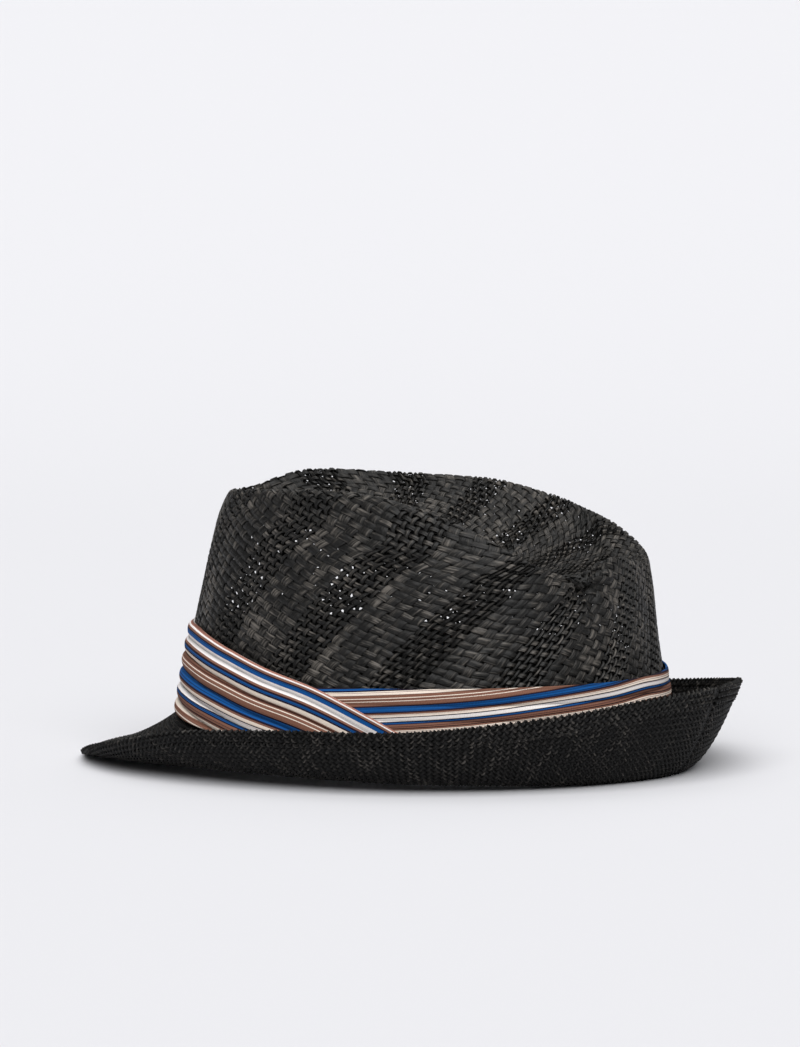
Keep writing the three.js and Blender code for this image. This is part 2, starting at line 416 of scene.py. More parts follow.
def smooth_curve(knots: Sequence[Array], steps: int) -> Array:
    """Centripetal curves through knots, many at once.

    Args:
        knots: Each knot's points, one for each curve.
        steps: How many points each curve gets.

    Returns:
        Points by curve and step.
    """
    line = [2 * knots[0] - knots[1], *knots, 2 * knots[-1] - knots[-2]]
    pieces = len(knots) - 1
    out = []
    for at in np.linspace(0, pieces, steps):
        i = min(int(at), pieces - 1)
        t = at - i
        p0, p1, p2, p3 = line[i:i + 4]
        d0, d1, d2 = (
            np.maximum(np.linalg.norm(b - a, axis=-1, keepdims=True), 1e-6) ** 0.5
            for a, b in ((p0, p1), (p1, p2), (p2, p3))
        )
        m1 = ((p1 - p0) / d0 - (p2 - p0) / (d0 + d1) + (p2 - p1) / d1) * d1
        m2 = ((p2 - p1) / d1 - (p3 - p1) / (d1 + d2) + (p3 - p2) / d2) * d1
        squared = (-3 * p1 + 3 * p2 - 2 * m1 - m2) * t**2
        cubed = (2 * p1 - 2 * p2 + m1 + m2) * t**3
        out.append(p1 + m1 * t + squared + cubed)
    return np.stack(out, 1)


class Ground:
    """A surface that strands are laid on, read by the distance round it and up it."""

    # Where round the surface its lines lean over, as shares of a turn, and up to what height.
    LEAN_MIDDLE = 0.88
    LEAN_REACH = 0.34
    LEAN_TOP = 95
    # The height at which the way round a closed surface is measured.
    GIRTH_HEIGHT = 40

    def __init__(
        self, lines: Array, girth: float, closed: bool, spacing: float = 0.6, lean: float = 0.0
    ) -> None:
        """Resamples lines that run up the surface.

        Args:
            lines: Points by line and step. The last line repeats the first on a closed surface.
            girth: The distance round it, which a closed surface works out itself.
            closed: Whether it meets itself.
            spacing: The distance between kept points up a line.
            lean: How far the lines of a closed surface lean over, behind on the wearer's left.
        """
        self.girth, self.closed, self.spacing, self.lean = girth, closed, spacing, lean
        steps = np.linalg.norm(np.diff(lines, axis=1), axis=2)
        lengths = np.concatenate([np.zeros((len(lines), 1)), np.cumsum(steps, axis=1)], 1)
        self.tops = lengths[:, -1]
        rows = int(self.tops.max() / spacing) + 4
        self.grid = np.empty((len(lines), rows, 3))
        levels = np.arange(rows) * spacing
        for i, line in enumerate(lines):
            past = np.maximum(levels - self.tops[i], 0)[:, None]
            self.grid[i] = between(levels, lengths[i], line) + past * unit(line[-1] - line[-2])
        self.reach = np.tile(self.tops[:, None], (1, rows))
        if closed:
            self.even_out()
            self.girth = self.ring_length(self.GIRTH_HEIGHT)
            wide = np.concatenate([self.grid[-2:-1], self.grid, self.grid[1:2]])
            round_it = wide[2:] - wide[:-2]
        else:
            round_it = np.gradient(self.grid, axis=0)
        up = np.gradient(self.grid, axis=1)
        self.normals = unit(np.cross(round_it, up))

    def even_out(self) -> None:
        """Slides the points round each ring until they lie evenly, leaning over where set."""
        lines = np.arange(len(self.grid))
        last = np.minimum((self.tops / self.spacing).astype(int), self.grid.shape[1] - 1)
        grid, reach = self.grid.copy(), self.reach.copy()
        share = np.linspace(0, 1, len(lines))
        from_middle = (share - self.LEAN_MIDDLE + 0.5) % 1 - 0.5
        hill = np.cos(np.clip(from_middle / self.LEAN_REACH, -1, 1) * math.pi / 2) ** 2
        for level in range(self.grid.shape[1]):
            ring = self.grid[lines, np.minimum(last, level)]
            steps = np.linalg.norm(np.diff(ring, axis=0), axis=1) + 1e-4
            length = np.concatenate([[0], np.cumsum(steps)])
            over = self.lean * hill * min(level * self.spacing, self.LEAN_TOP)
            at = np.interp((share * length[-1] + over) % (length[-1] + 1e-6), length, lines)
            grid[:, level] = between(at, lines, self.grid[:, level])
            reach[:, level] = np.interp(at, lines, self.tops)
        self.grid, self.reach = grid, reach

    def ring_length(self, height: float) -> float:
        """The distance round the surface at a distance up it."""
        ring = self.grid[:, int(height / self.spacing)]
        return float(np.linalg.norm(np.diff(ring, axis=0), axis=1).sum())

    def locate(self, around: Array, up: Array) -> tuple[Array, Array]:
        """Finds places on the surface.

        Args:
            around: The distances round it.
            up: The distances up it.

        Returns:
            The points there, and the unit normals.
        """
        lines = len(self.grid) - 1
        u = around / self.girth * lines
        u = u % lines if self.closed else np.clip(u, 0, lines - 1e-6)
        v = np.clip(up / self.spacing, 0, self.grid.shape[1] - 1.001)
        i, j = u.astype(int), v.astype(int)
        a, b = (u - i)[:, None], (v - j)[:, None]
        found = []
        for table in (self.grid, self.normals):
            found.append(
                (table[i, j] * (1 - a) + table[i + 1, j] * a) * (1 - b)
                + (table[i, j + 1] * (1 - a) + table[i + 1, j + 1] * a) * b
            )
        return found[0], unit(found[1])

    def top(self, around: Array, up: Array) -> Array:
        """Finds how far up the surface goes.

        Args:
            around: The distances round it.
            up: The distances up it.

        Returns:
            The height of its top, on the line through each of these places.
        """
        lines = len(self.grid) - 1
        u = around / self.girth * lines
        u = u % lines if self.closed else np.clip(u, 0, lines)
        v = np.clip(up / self.spacing, 0, self.grid.shape[1] - 1)
        return self.reach[np.round(u).astype(int), np.round(v).astype(int)]


@dataclass
class Batch:
    """Strands gathered into one mesh, each with the section of a lens or a ribbon."""

    points: list[Array] = field(default_factory=list)
    quads: list[Array] = field(default_factory=list)
    grain: list[Array] = field(default_factory=list)
    tones: list[Array] = field(default_factory=list)
    size: int = 0

    def add(self, shell: Array, across: Array, start: float, tones: Array) -> None:
        """Adds one strand.

        Args:
            shell: Its points by step and place round its section.
            across: How far across the strand each of them lies.
            start: Where its grain starts.
            tones: Its straw's lightness at each, less painted shade at edges and under crossings.
        """
        count, n = shell.shape[:2]
        along = np.repeat(run_length(shell.mean(axis=1)) + start, n)
        self.points.append(shell.reshape(-1, 3))
        self.grain.append(np.stack([across.ravel(), along], -1))
        self.tones.append(tones.ravel())
        k = np.arange(count - 1)[:, None] * n + self.size
        s = np.arange(n)[None, :]
        e = (s + 1) % n
        walls = np.stack([k + s, k + e, k + n + e, k + n + s], -1).reshape(-1, 4)
        last = self.size + (count - 1) * n
        caps = [[self.size + i for i in (3, 2, 1, 0)], [last + i for i in (0, 1, 2, 3)]]
        if n == len(RIBBON):
            caps += [[self.size + i for i in (0, 5, 4, 3)], [last + i for i in (3, 4, 5, 0)]]
        self.quads.append(np.concatenate([walls, np.array(caps)]))
        self.size += count * n

    def mesh(self, name: str, material: bpy.types.Material) -> bpy.types.Object:
        """Makes the piece out of the gathered strands.

        Args:
            name: The piece's name.
            material: Its finish.

        Returns:
            The piece.
        """
        points, quads = np.concatenate(self.points), np.concatenate(self.quads)
        piece = mesh_object(name, points, quads, material)
        add_map(piece, "grain", np.concatenate(self.grain))
        add_values(piece, "tone", np.concatenate(self.tones))
        finish_smooth(piece, 50)
        return piece


def mesh_object(
    name: str, points: Array, quads: Array, material: bpy.types.Material
) -> bpy.types.Object:
    """Makes an object at the origin out of four-sided faces.

    Args:
        name: The piece's name.
        points: Its points, in millimetres.
        quads: The points of each face.
        material: Its finish.

    Returns:
        The piece.
    """
    data = bpy.data.meshes.new(name)
    data.vertices.add(len(points))
    data.vertices.foreach_set("co", (points * MM).ravel())
    data.loops.add(quads.size)
    data.loops.foreach_set("vertex_index", quads.ravel().astype(np.int32))
    data.polygons.add(len(quads))
    data.polygons.foreach_set("loop_start", np.arange(0, quads.size, 4, dtype=np.int32))
    data.update(calc_edges=True)
    data.validate()
    data.materials.append(material)
    piece = bpy.data.objects.new(name, data)
    bpy.context.scene.collection.objects.link(piece)
    return piece


def add_map(piece: bpy.types.Object, name: str, places: Array) -> None:
    """Adds a UV map, in metres.

    Args:
        piece: The piece that gets it.
        name: The map's name.
        places: Where each of the piece's points lies on it, in millimetres.
    """
    data = piece.data
    corners = np.empty(len(data.loops), np.int32)
    data.loops.foreach_get("vertex_index", corners)
    data.uv_layers.new(name=name).data.foreach_set("uv", (places[corners] * MM).ravel())


def add_values(piece: bpy.types.Object, name: str, values: Array) -> None:
    """Adds a number at each point of a piece, for its finish to read."""
    piece.data.attributes.new(name, "FLOAT", "POINT").data.foreach_set("value", values)


def grid_quads(lines: int, rows: int) -> Array:
    """The faces of a grid of points, listed line by line."""
    here = np.arange(lines - 1)[:, None] * rows + np.arange(rows - 1)[None, :]
    return np.stack([here, here + 1, here + rows + 1, here + rows], -1).reshape(-1, 4)


def pick(piece: bpy.types.Object) -> None:
    """Selects one piece alone and makes it the active one.

    Args:
        piece: The piece.
    """
    bpy.ops.object.select_all(action="DESELECT")
    piece.select_set(True)
    bpy.context.view_layer.objects.active = piece


def finish_smooth(piece: bpy.types.Object, degrees: float) -> None:
    """Shades a piece smooth, apart from edges sharper than an angle.

    Args:
        piece: The piece.
        degrees: The angle.
    """
    pick(piece)
    bpy.ops.object.shade_smooth_by_angle(angle=math.radians(degrees))
    piece.select_set(False)


def thicken(piece: bpy.types.Object, thickness: float) -> None:
    """Gives a sheet its thickness inwards, and applies it.

    Args:
        piece: The sheet.
        thickness: Its thickness, in millimetres.
    """
    pick(piece)
    wall = piece.modifiers.new("wall", "SOLIDIFY")
    wall.thickness = thickness * MM
    wall.offset = -1
    bpy.ops.object.modifier_apply(modifier="wall")
    piece.select_set(False)


def place(piece: bpy.types.Object, node: str) -> None:
    """Rides a piece on the hat.

    Args:
        piece: The piece.
        node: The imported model's node whose place it takes.
    """
    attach(piece, BODY)
    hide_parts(node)
    LOG.info("%s: %d faces for %s", piece.name, len(piece.data.polygons), node)


class Nodes:
    """A small helper that builds one material's nodes."""

    def __init__(self, name: str) -> None:
        """Starts a material.

        Args:
            name: The material's name.
        """
        self.material = bpy.data.materials.new(name)
        self.material.use_nodes = True
        self.tree = self.material.node_tree
        self.shader = self.tree.nodes["Principled BSDF"]

    def give(self, socket: Socket, value: object) -> None:
        """Sets a socket.

        Args:
            socket: The socket.
            value: Another socket, to join it to, or a plain value.
        """
        if isinstance(value, Socket):
            self.tree.links.new(value, socket)
        else:
            socket.default_value = value

    def add(
        self, kind: str, inputs: dict[str | int, object] | None = None, **settings: object
    ) -> bpy.types.Node:
        """Adds a node.

        Args:
            kind: Its type.
            inputs: What its sockets get, by name or place.
            **settings: Its own options.

        Returns:
            The node.
        """
        node = self.tree.nodes.new(kind)
        for key, value in settings.items():
            setattr(node, key, value)
        for key, value in (inputs or {}).items():
            self.give(node.inputs[key], value)
        return node

    def maths(self, operation: str, *values: object) -> Socket:
        """A Math node on sockets or plain numbers."""
        return self.add("ShaderNodeMath", dict(enumerate(values)), operation=operation).outputs[0]

    def noise(self, vector: Socket, scale: float, detail: float = 2) -> Socket:
        """A noise pattern's factor."""
        inputs = {"Scale": scale, "Detail": detail, "Vector": vector}
        return self.add("ShaderNodeTexNoise", inputs).outputs["Fac"]

    def stretched(self, vector: Socket, scale: tuple[float, float, float]) -> Socket:
        """A vector scaled along its axes."""
        return self.add("ShaderNodeMapping", {"Scale": scale, "Vector": vector}).outputs["Vector"]

    def mixed(self, factor: object, first: object, second: object, blend: str = "MIX") -> Socket:
        """Mixes two colours.

        Args:
            factor: How much of the mix shows.
            first: The colour under it.
            second: The colour mixed in.
            blend: How they mix.

        Returns:
            The colour.
        """
        settings = {"data_type": "RGBA", "blend_type": blend}
        inputs = {"Factor": factor, "A": first, "B": second}
        return self.add("ShaderNodeMix", inputs, **settings).outputs["Result"]

    def ramp(
        self, factor: Socket, stops: Sequence[tuple[float, Colour]], constant: bool = False
    ) -> Socket:
        """A colour ramp.

        Args:
            factor: What it is read by.
            stops: Its places and colours, in order.
            constant: Whether each colour holds until the next place.

        Returns:
            The colour.
        """
        node = self.add("ShaderNodeValToRGB", {"Fac": factor})
        ramp = node.color_ramp
        ramp.interpolation = "CONSTANT" if constant else "LINEAR"
        for element, (place_at, colour) in zip(ramp.elements, (stops[0], stops[-1])):
            element.position, element.color = place_at, (*colour, 1)
        for place_at, colour in stops[1:-1]:
            ramp.elements.new(place_at).color = (*colour, 1)
        return node.outputs["Color"]

    def bump(self, heights: Sequence[tuple[Socket, float, float]]) -> None:
        """Stacks bumps on the shader's normal.

        Args:
            heights: Each bump's pattern, strength and distance.
        """
        stacked = {}
        for height, strength, distance in heights:
            inputs = {"Strength": strength, "Distance": distance, "Height": height, **stacked}
            stacked = {"Normal": self.add("ShaderNodeBump", inputs).outputs["Normal"]}
        self.surface(stacked)

    def surface(self, inputs: dict[str, object]) -> None:
        """Sets or joins sockets of the surface shader."""
        for key, value in inputs.items():
            self.give(self.shader.inputs[key], value)


@dataclass(frozen=True)
class StrawFinish:
    """Dyed paper straw: near black, with a fibrous grain and a soft satin sheen.

    The weights are how far the strand's tone (its own lightness, less painted shade at its
    edges and where it passes under) and each pattern lighten or darken it.
    """

    name: str
    dark: Colour = (0.003, 0.0028, 0.0025)
    middle: Colour = (0.022, 0.0198, 0.0172)
    light: Colour = (0.115, 0.103, 0.09)
    stops: tuple[float, float, float] = (0.15, 0.5, 1.0)
    roughness: float = 0.52
    roughness_spread: float = 0.3
    gloss: float = 0.3
    grain: float = 0.6
    tone_weight: float = 0.8
    fibre_scale: tuple[float, float, float] = (1500, 70, 1)
    fibre_weight: float = 2.2
    fibre_relief: float = 0.0005
    crumple_scale: tuple[float, float, float] = (620, 230, 1)
    crumple_weight: float = 1.2
    crumple_relief: float = 0.0009
    patch_scale: float = 70
    patch_weight: float = 1.0

    def build(self) -> bpy.types.Material:
        """Makes the straw's material.

        Returns:
            The material.
        """
        made = Nodes(self.name)
        grain = made.add("ShaderNodeUVMap", uv_map="grain").outputs["UV"]
        here = made.add("ShaderNodeTexCoord").outputs["Object"]
        # tone: each strand's own lightness, less painted shade at its edges and under crossings.
        tone = made.add("ShaderNodeAttribute", attribute_name="tone").outputs["Fac"]
        fibres = made.noise(made.stretched(grain, self.fibre_scale), 1, 3)
        crumple = made.noise(made.stretched(grain, self.crumple_scale), 1)
        patches = made.noise(here, self.patch_scale)
        shade = made.maths("MULTIPLY", tone, self.tone_weight)
        for pattern, weight in (
            (fibres, self.fibre_weight),
            (crumple, self.crumple_weight),
            (patches, self.patch_weight),
        ):
            centred = made.maths("SUBTRACT", pattern, 0.5)
            shade = made.maths("ADD", shade, made.maths("MULTIPLY", centred, weight))
        least = self.roughness - self.roughness_spread / 2
        stops = tuple(zip(self.stops, (self.dark, self.middle, self.light)))
        made.surface({
            "Base Color": made.ramp(shade, stops),
            "Roughness": made.maths("MULTIPLY_ADD", crumple, self.roughness_spread, least),
            "Specular IOR Level": self.gloss,
        })
        made.bump((
            (crumple, self.grain, self.crumple_relief), (fibres, self.grain, self.fibre_relief)
        ))
        return made.material


@dataclass(frozen=True)
class ClothFinish:
    """Ribbed cloth with stripes along it, read from the cloth's own map."""

    name: str
    colours: tuple[tuple[str, Colour], ...] = (
        ("white", (0.97, 0.92, 0.9)),
        ("cream", (0.93, 0.81, 0.7)),
        ("rose", (0.42, 0.2, 0.15)),
        ("brown", (0.24, 0.112, 0.075)),
        ("blue", (0.005, 0.088, 0.31)),
        ("navy", (0.014, 0.008, 0.02)),
    )
    plain: Colour = (1, 1, 1)
    dark_hair: Colour = (0.22, 0.14, 0.16)
    soft_hair: Colour = (0.7, 0.62, 0.6)
    thread_gap: Colour = (0.55, 0.55, 0.55)
    thread_share: float = 0.4
    edge_wave: float = 0.25
    roughness: float = 0.8
    gloss: float = 0.15

    def stripes(self, made: Nodes, share: Socket) -> Socket:
        """The stripes' colours, in two ramps because one is too short.

        Args:
            made: The material's nodes.
            share: How far across one repeat of the stripes a place lies.

        Returns:
            The colour.
        """
        paint = dict(self.colours)
        total = sum(stripe.width for stripe in STRIPES)
        stops, low = [], 0.0
        for stripe in STRIPES:
            stops.append((low / total, paint[stripe.colour]))
            low += stripe.width
        half = len(stops) // 2
        ramps = [made.ramp(share, part, constant=True) for part in (stops[:half], stops[half:])]
        return made.mixed(made.maths("GREATER_THAN", share, stops[half][0]), *ramps)

    def build(self) -> bpy.types.Material:
        """Makes the cloth's material.

        Returns:
            The material.
        """
        made = Nodes(self.name)
        cloth = made.add("ShaderNodeUVMap", uv_map="cloth").outputs["UV"]
        across = made.add("ShaderNodeSeparateXYZ", {0: cloth}).outputs[1]
        wave = made.maths("SUBTRACT", made.noise(made.stretched(cloth, (60, 400, 1)), 1), 0.5)
        waved = made.maths("ADD", across, made.maths("MULTIPLY", wave, self.edge_wave * MM))
        repeat = sum(stripe.width for stripe in STRIPES) * MM
        colour = self.stripes(made, made.maths("FRACT", made.maths("DIVIDE", waved, repeat)))
        hairs = made.noise(made.stretched(cloth, (1.5, 1300, 1)), 1)
        threads = made.noise(made.stretched(cloth, (2400, 5000, 1)), 1, 1)
        ribs = made.add(
            "ShaderNodeTexWave",
            {"Scale": 1, "Distortion": 1.2, "Vector": made.stretched(cloth, (330, 330, 1))},
            wave_type="BANDS", bands_direction="X",
        ).outputs["Fac"]
        lines = made.ramp(hairs, (
            (0.34, self.dark_hair), (0.43, self.plain), (0.6, self.plain), (0.66, self.soft_hair)
        ))
        speckle = made.ramp(threads, ((0.3, self.thread_gap), (0.7, self.plain)))
        # Painted shade in the pleats' creases, set by the band, multiplies the colour.
        painted_crease_shade = made.add("ShaderNodeAttribute", attribute_name="painted_crease_shade").outputs["Fac"]
        for factor, layer in ((1, lines), (self.thread_share, speckle), (1, painted_crease_shade)):
            colour = made.mixed(factor, colour, layer, "MULTIPLY")
        made.surface({
            "Base Color": colour, "Roughness": self.roughness, "Specular IOR Level": self.gloss
        })
        made.bump(((ribs, 0.4, 0.0002), (threads, 0.4, 0.00015), (hairs, 0.5, 0.0003)))
        return made.material


class Course(NamedTuple):
    """A run of like strands across the weave."""

    count: int
    pitch: float
    width: float
    depth: float
    flat: bool


class Strand(NamedTuple):
    """One strand of a weave, with its measures at each of its points.

    around and up place a point on the surface, side is the direction across the strand there, and
    height is how far the point stands off the surface.
    """

    number: int
    flat: bool
    side: Array
    around: Array
    up: Array
    height: Array
    width: Array
    depth: Array


@dataclass
class Weave:
    """A plain weave laid on a surface, its strands crossing at right angles.

    past_top is how far strands run on past the surface's top, seam how far they stop short of an
    open surface's ends, and spread how far they sway, as a share of their pitch. The edge and
    under shades are painted shade: they darken a strand's tone at its edges and where it passes
    under.
    """

    # A strand's two points over each crossing, as shares of the crossing's pitch.
    WARP_HOLD = np.array([[-0.26, 0.26]])
    WEFT_HOLD = np.array([[-0.27, 0.27]])
    # How far a strand rises over another, as shares of its own depth and of the other's.
    OWN_RISE = 0.25
    OTHER_RISE = 0.42
    # How much a strand's width varies, and how narrow and deep a weft is drawn by round warps.
    SWELL = 0.08
    DRAWN_WIDTH = 0.72
    DRAWN_DEPTH = 1.35
    # The distances between the hills of the strands' sway and of their swelling.
    WARP_SWAY, WEFT_SWAY, SWELL_REACH = 26, 24, 9
    GRAIN_STEP = 7.3
    TONES = (0.25, 0.75)
    SHORTEST_RUN = 4

    ground: Ground
    slant_deg: float
    warp: tuple[Course, ...]
    weft: Course
    seed: int
    past_top: float = 0.0
    spread: float = 0.1
    seam: float = 0.0
    # Painted shade: how much darker a strand's tone is at its edges and where it passes under.
    painted_edge_shade: float = 0.5
    painted_under_shade: float = 0.3
    ahead: Array = field(init=False)
    aside: Array = field(init=False)
    warp_places: Array = field(init=False)
    warp_course: Array = field(init=False)
    period: float = field(init=False)
    periods: int = field(init=False)
    stretch: float = field(init=False)
    rows: int = field(init=False)
    pitch: float = field(init=False)

    def __post_init__(self) -> None:
        """Works out where the warps lie over one period, stretched so that the weave closes."""
        slant = math.radians(self.slant_deg)
        self.ahead = np.array([math.cos(slant), math.sin(slant)])
        self.aside = np.array([math.sin(slant), -math.cos(slant)])
        places, course, at = [], [], 0.0
        for number, run in enumerate(self.warp):
            for _ in range(run.count):
                places.append(at + run.pitch / 2)
                course.append(number)
                at += run.pitch
        self.period = at
        self.warp_places, self.warp_course = np.array(places), np.array(course)
        girth, closed = self.ground.girth, self.ground.closed
        self.periods = max(1, round(girth * self.aside[0] / at))
        self.stretch = girth * self.aside[0] / (self.periods * at) if closed else 1.0
        self.rows = round(girth * self.ahead[0] / self.weft.pitch)
        self.rows += (self.rows + self.periods * len(places)) % 2
        self.pitch = girth * self.ahead[0] / self.rows if closed else self.weft.pitch

    def warp_at(self, numbers: Array) -> tuple[Array, list[Course]]:
        """Looks warps up.

        Args:
            numbers: The warps' numbers.

        Returns:
            Their places and the courses that they belong to.
        """
        turns, rest = np.divmod(numbers, len(self.warp_places))
        places = (turns * self.period + self.warp_places[rest]) * self.stretch
        return places, [self.warp[course] for course in self.warp_course[rest]]

    def trimmed(self, strand: Strand) -> Array:
        """Finds the part of a strand to keep.

        Args:
            strand: The strand.

        Returns:
            Whether each of its points lies on the surface.
        """
        top = self.ground.top(strand.around, strand.up) + self.past_top
        keep = (strand.up >= 0) & (strand.up <= top)
        if not self.ground.closed:
            keep &= (strand.around >= self.seam) & (strand.around <= self.ground.girth - self.seam)
        return keep

    def lay(self, batch: Batch, strand: Strand, tone: float) -> None:
        """Lays one strand's runs on the surface, its section following the surface.

        Args:
            batch: Where the strand goes.
            strand: The strand.
            tone: How light its straw is.
        """
        keep = self.trimmed(strand).astype(int)
        edges = np.flatnonzero(np.diff(np.concatenate([[0], keep, [0]])))
        for begin, end in zip(edges[::2], edges[1::2]):
            if end - begin < self.SHORTEST_RUN:
                continue
            around, up, height, width, depth = (values[begin:end] for values in strand[3:])
            shell, across, tones = [], [], []
            for x, y in RIBBON if strand.flat else LENS:
                aside = width / 2 * x
                # Painted shade: the tone is darkened at the strand's edges and where it passes
                # under.
                shade = self.painted_edge_shade * (abs(x) == 1)
                tones.append(tone - shade - self.painted_under_shade * (height < 0))
                points, normals = self.ground.locate(
                    around + aside * strand.side[0], up + aside * strand.side[1]
                )
                shell.append(points + normals * (height + depth / 2 * y)[:, None])
                across.append(aside)
            batch.add(
                np.stack(shell, 1), np.stack(across, 1), strand.number * self.GRAIN_STEP,
                np.stack(tones, 1),
            )

    def warps(self) -> Iterator[Strand]:
        """Works out the strands that run up the slant.

        Yields:
            Each of them.
        """
        cos, sin = self.ahead
        per, closed = len(self.warp_places), self.ground.closed
        reach = self.ground.tops.max() + self.past_top
        first = 0 if closed else -int(reach * cos / (self.period / per)) - 2
        last = int(self.periods * per) + (0 if closed else 2)
        for number in range(first, last):
            places, runs = self.warp_at(np.array([number]))
            across, run = places[0], runs[0]
            low_row = math.floor(across * cos / sin / self.pitch) - 1
            high_row = math.ceil((reach + across * cos) / sin / self.pitch) + 1
            rows = np.arange(low_row, high_row)
            along = ((rows + 0.5)[:, None] + self.WARP_HOLD).ravel() * self.pitch
            sign = np.repeat(np.where((rows + number) % 2 == 0, 1.0, -1.0), 2)
            sway = wander(self.seed + number * 31, along, self.WARP_SWAY) * self.spread * run.pitch
            swell = wander(self.seed + number * 17 + 5, along, self.SWELL_REACH)
            yield Strand(
                number, run.flat, self.aside,
                around=(across + sway) * self.aside[0] + along * self.ahead[0],
                up=(across + sway) * self.aside[1] + along * self.ahead[1],
                height=sign * (run.depth * self.OWN_RISE + self.weft.depth * self.OTHER_RISE),
                width=run.width * (1 + self.SWELL * swell),
                depth=np.full(len(along), run.depth),
            )

    def wefts(self) -> Iterator[Strand]:
        """Works out the strands that cross the warps.

        Yields:
            Each of them.
        """
        cos, sin = self.ahead
        weft, girth, closed = self.weft, self.ground.girth, self.ground.closed
        reach = self.ground.tops.max() + self.past_top
        mean = self.period * self.stretch / len(self.warp_places)
        last = self.rows if closed else int((girth * cos + reach * sin) / self.pitch) + 2
        for row in range(0 if closed else -2, last):
            along = (row + 0.5) * self.pitch
            high, low = along * sin / cos, (along * sin - reach) / cos
            numbers = np.arange(math.floor(low / mean) - 8, math.ceil(high / mean) + 8)
            places, runs = self.warp_at(numbers)
            pitches = np.array([run.pitch for run in runs]) * self.stretch
            flat = np.repeat([run.flat for run in runs], 2)
            partner = np.repeat([run.depth for run in runs], 2)
            across = (places[:, None] + pitches[:, None] * self.WEFT_HOLD).ravel()
            sign = np.repeat(np.where((row + numbers) % 2 == 0, -1.0, 1.0), 2)
            sway = wander(self.seed + row * 53 + 7, across, self.WEFT_SWAY)
            sway = sway * self.spread * self.pitch
            swell = wander(self.seed + row * 11, across, self.SWELL_REACH)
            width = weft.width * np.where(flat, 1.0, self.DRAWN_WIDTH)
            yield Strand(
                row + 1000, weft.flat, -self.ahead,
                around=across * self.aside[0] + (along + sway) * self.ahead[0],
                up=across * self.aside[1] + (along + sway) * self.ahead[1],
                height=sign * (weft.depth * self.OWN_RISE + partner * self.OTHER_RISE),
                width=width * (1 + self.SWELL * swell),
                depth=np.where(flat, weft.depth, weft.depth * self.DRAWN_DEPTH),
            )

    def weave(self, family: Family) -> dict[bool, Batch]:
        """Lays every strand of a family.

        Args:
            family: Which one.

        Returns:
            The flat ribbons (True) and the rounder strands (False).
        """
        batches = {True: Batch(), False: Batch()}
        draw = np.random.default_rng(self.seed + (family is Family.WEFT))
        for strand in self.warps() if family is Family.WARP else self.wefts():
            self.lay(batches[strand.flat], strand, float(draw.uniform(*self.TONES)))
        return batches


@dataclass
class Crown:
    """The crown: stripes of flat straw between stripes of open lattice, wound on the slant."""

    form: Form
    wall: float = 2.0
    lines: int = 360
    steps: int = 180
    tuck: float = 1.2
    slant_deg: float = 75
    wide: Course = Course(count=5, pitch=4.6, width=4.2, depth=0.55, flat=True)
    narrow: Course = Course(count=7, pitch=2.45, width=1.5, depth=0.9, flat=False)
    cross: Course = Course(count=1, pitch=3.1, width=2.7, depth=0.65, flat=True)
    past_top: float = 0.8
    spread: float = 0.16
    lean: float = 0.5
    pinch_at: tuple[float, float, float] = (78.5, -25.5, 75.0)
    pinch_depth: float = 6.0
    pinch_reach: float = 7.5
    pinch_folds: int = 7
    fold_height: float = 1.4
    fold_middle: float = 1.5
    finish: StrawFinish = StrawFinish("crown_straw")

    def ground(self) -> Ground:
        """Makes the surface to lay the strands on.

        Returns:
            The middle of the crown's wall, tucked in a little below the brim's seam.
        """
        angles = self.form.even_angles(self.lines)
        angles[-1] = angles[0]
        lines = self.form.sections(angles, self.steps)
        low = lines[:, :1] * [1, 1, 0] + [0, 0, -self.tuck]
        lines = np.concatenate([low, lines], 1)
        around = np.concatenate([lines[-2:-1], lines, lines[1:2]])
        normals = unit(np.cross(around[2:] - around[:-2], np.gradient(lines, axis=1)))
        lines = lines + normals * (self.pinch(lines)[..., None] - self.wall / 2)
        return Ground(self.form.stand(lines), 0, closed=True, lean=self.lean)

    def pinch(self, points: Array) -> Array:
        """The small gathered pinch behind the dent: how far each point moves out.

        Args:
            points: Points of the crown's surface, in the upright hat.

        Returns:
            A distance for each point, below zero where the straw is drawn in.
        """
        away = points - np.array(self.pinch_at)
        distance = np.linalg.norm(away, axis=-1)
        turn = np.arctan2(away[..., 1], away[..., 2] - away[..., 0])
        past = (distance - self.fold_middle * self.pinch_reach) / self.pinch_reach
        ring, dip = np.exp(-(past**2)), np.exp(-((distance / self.pinch_reach) ** 2))
        return self.fold_height * np.cos(self.pinch_folds * turn) * ring - self.pinch_depth * dip

    def build(self) -> None:
        """Weaves the crown and places its pieces."""
        material = self.finish.build()
        weave = Weave(
            self.ground(), self.slant_deg, (self.wide, self.narrow), self.cross, seed=11,
            past_top=self.past_top, spread=self.spread,
        )
        warps, wefts = weave.weave(Family.WARP), weave.weave(Family.WEFT)
        for name, batch in (
            ("crown_wide_straw", warps[True]),
            ("crown_narrow_straw", warps[False]),
            ("crown_cross_straw", wefts[True]),
        ):
            place(batch.mesh(name, material), "crown")


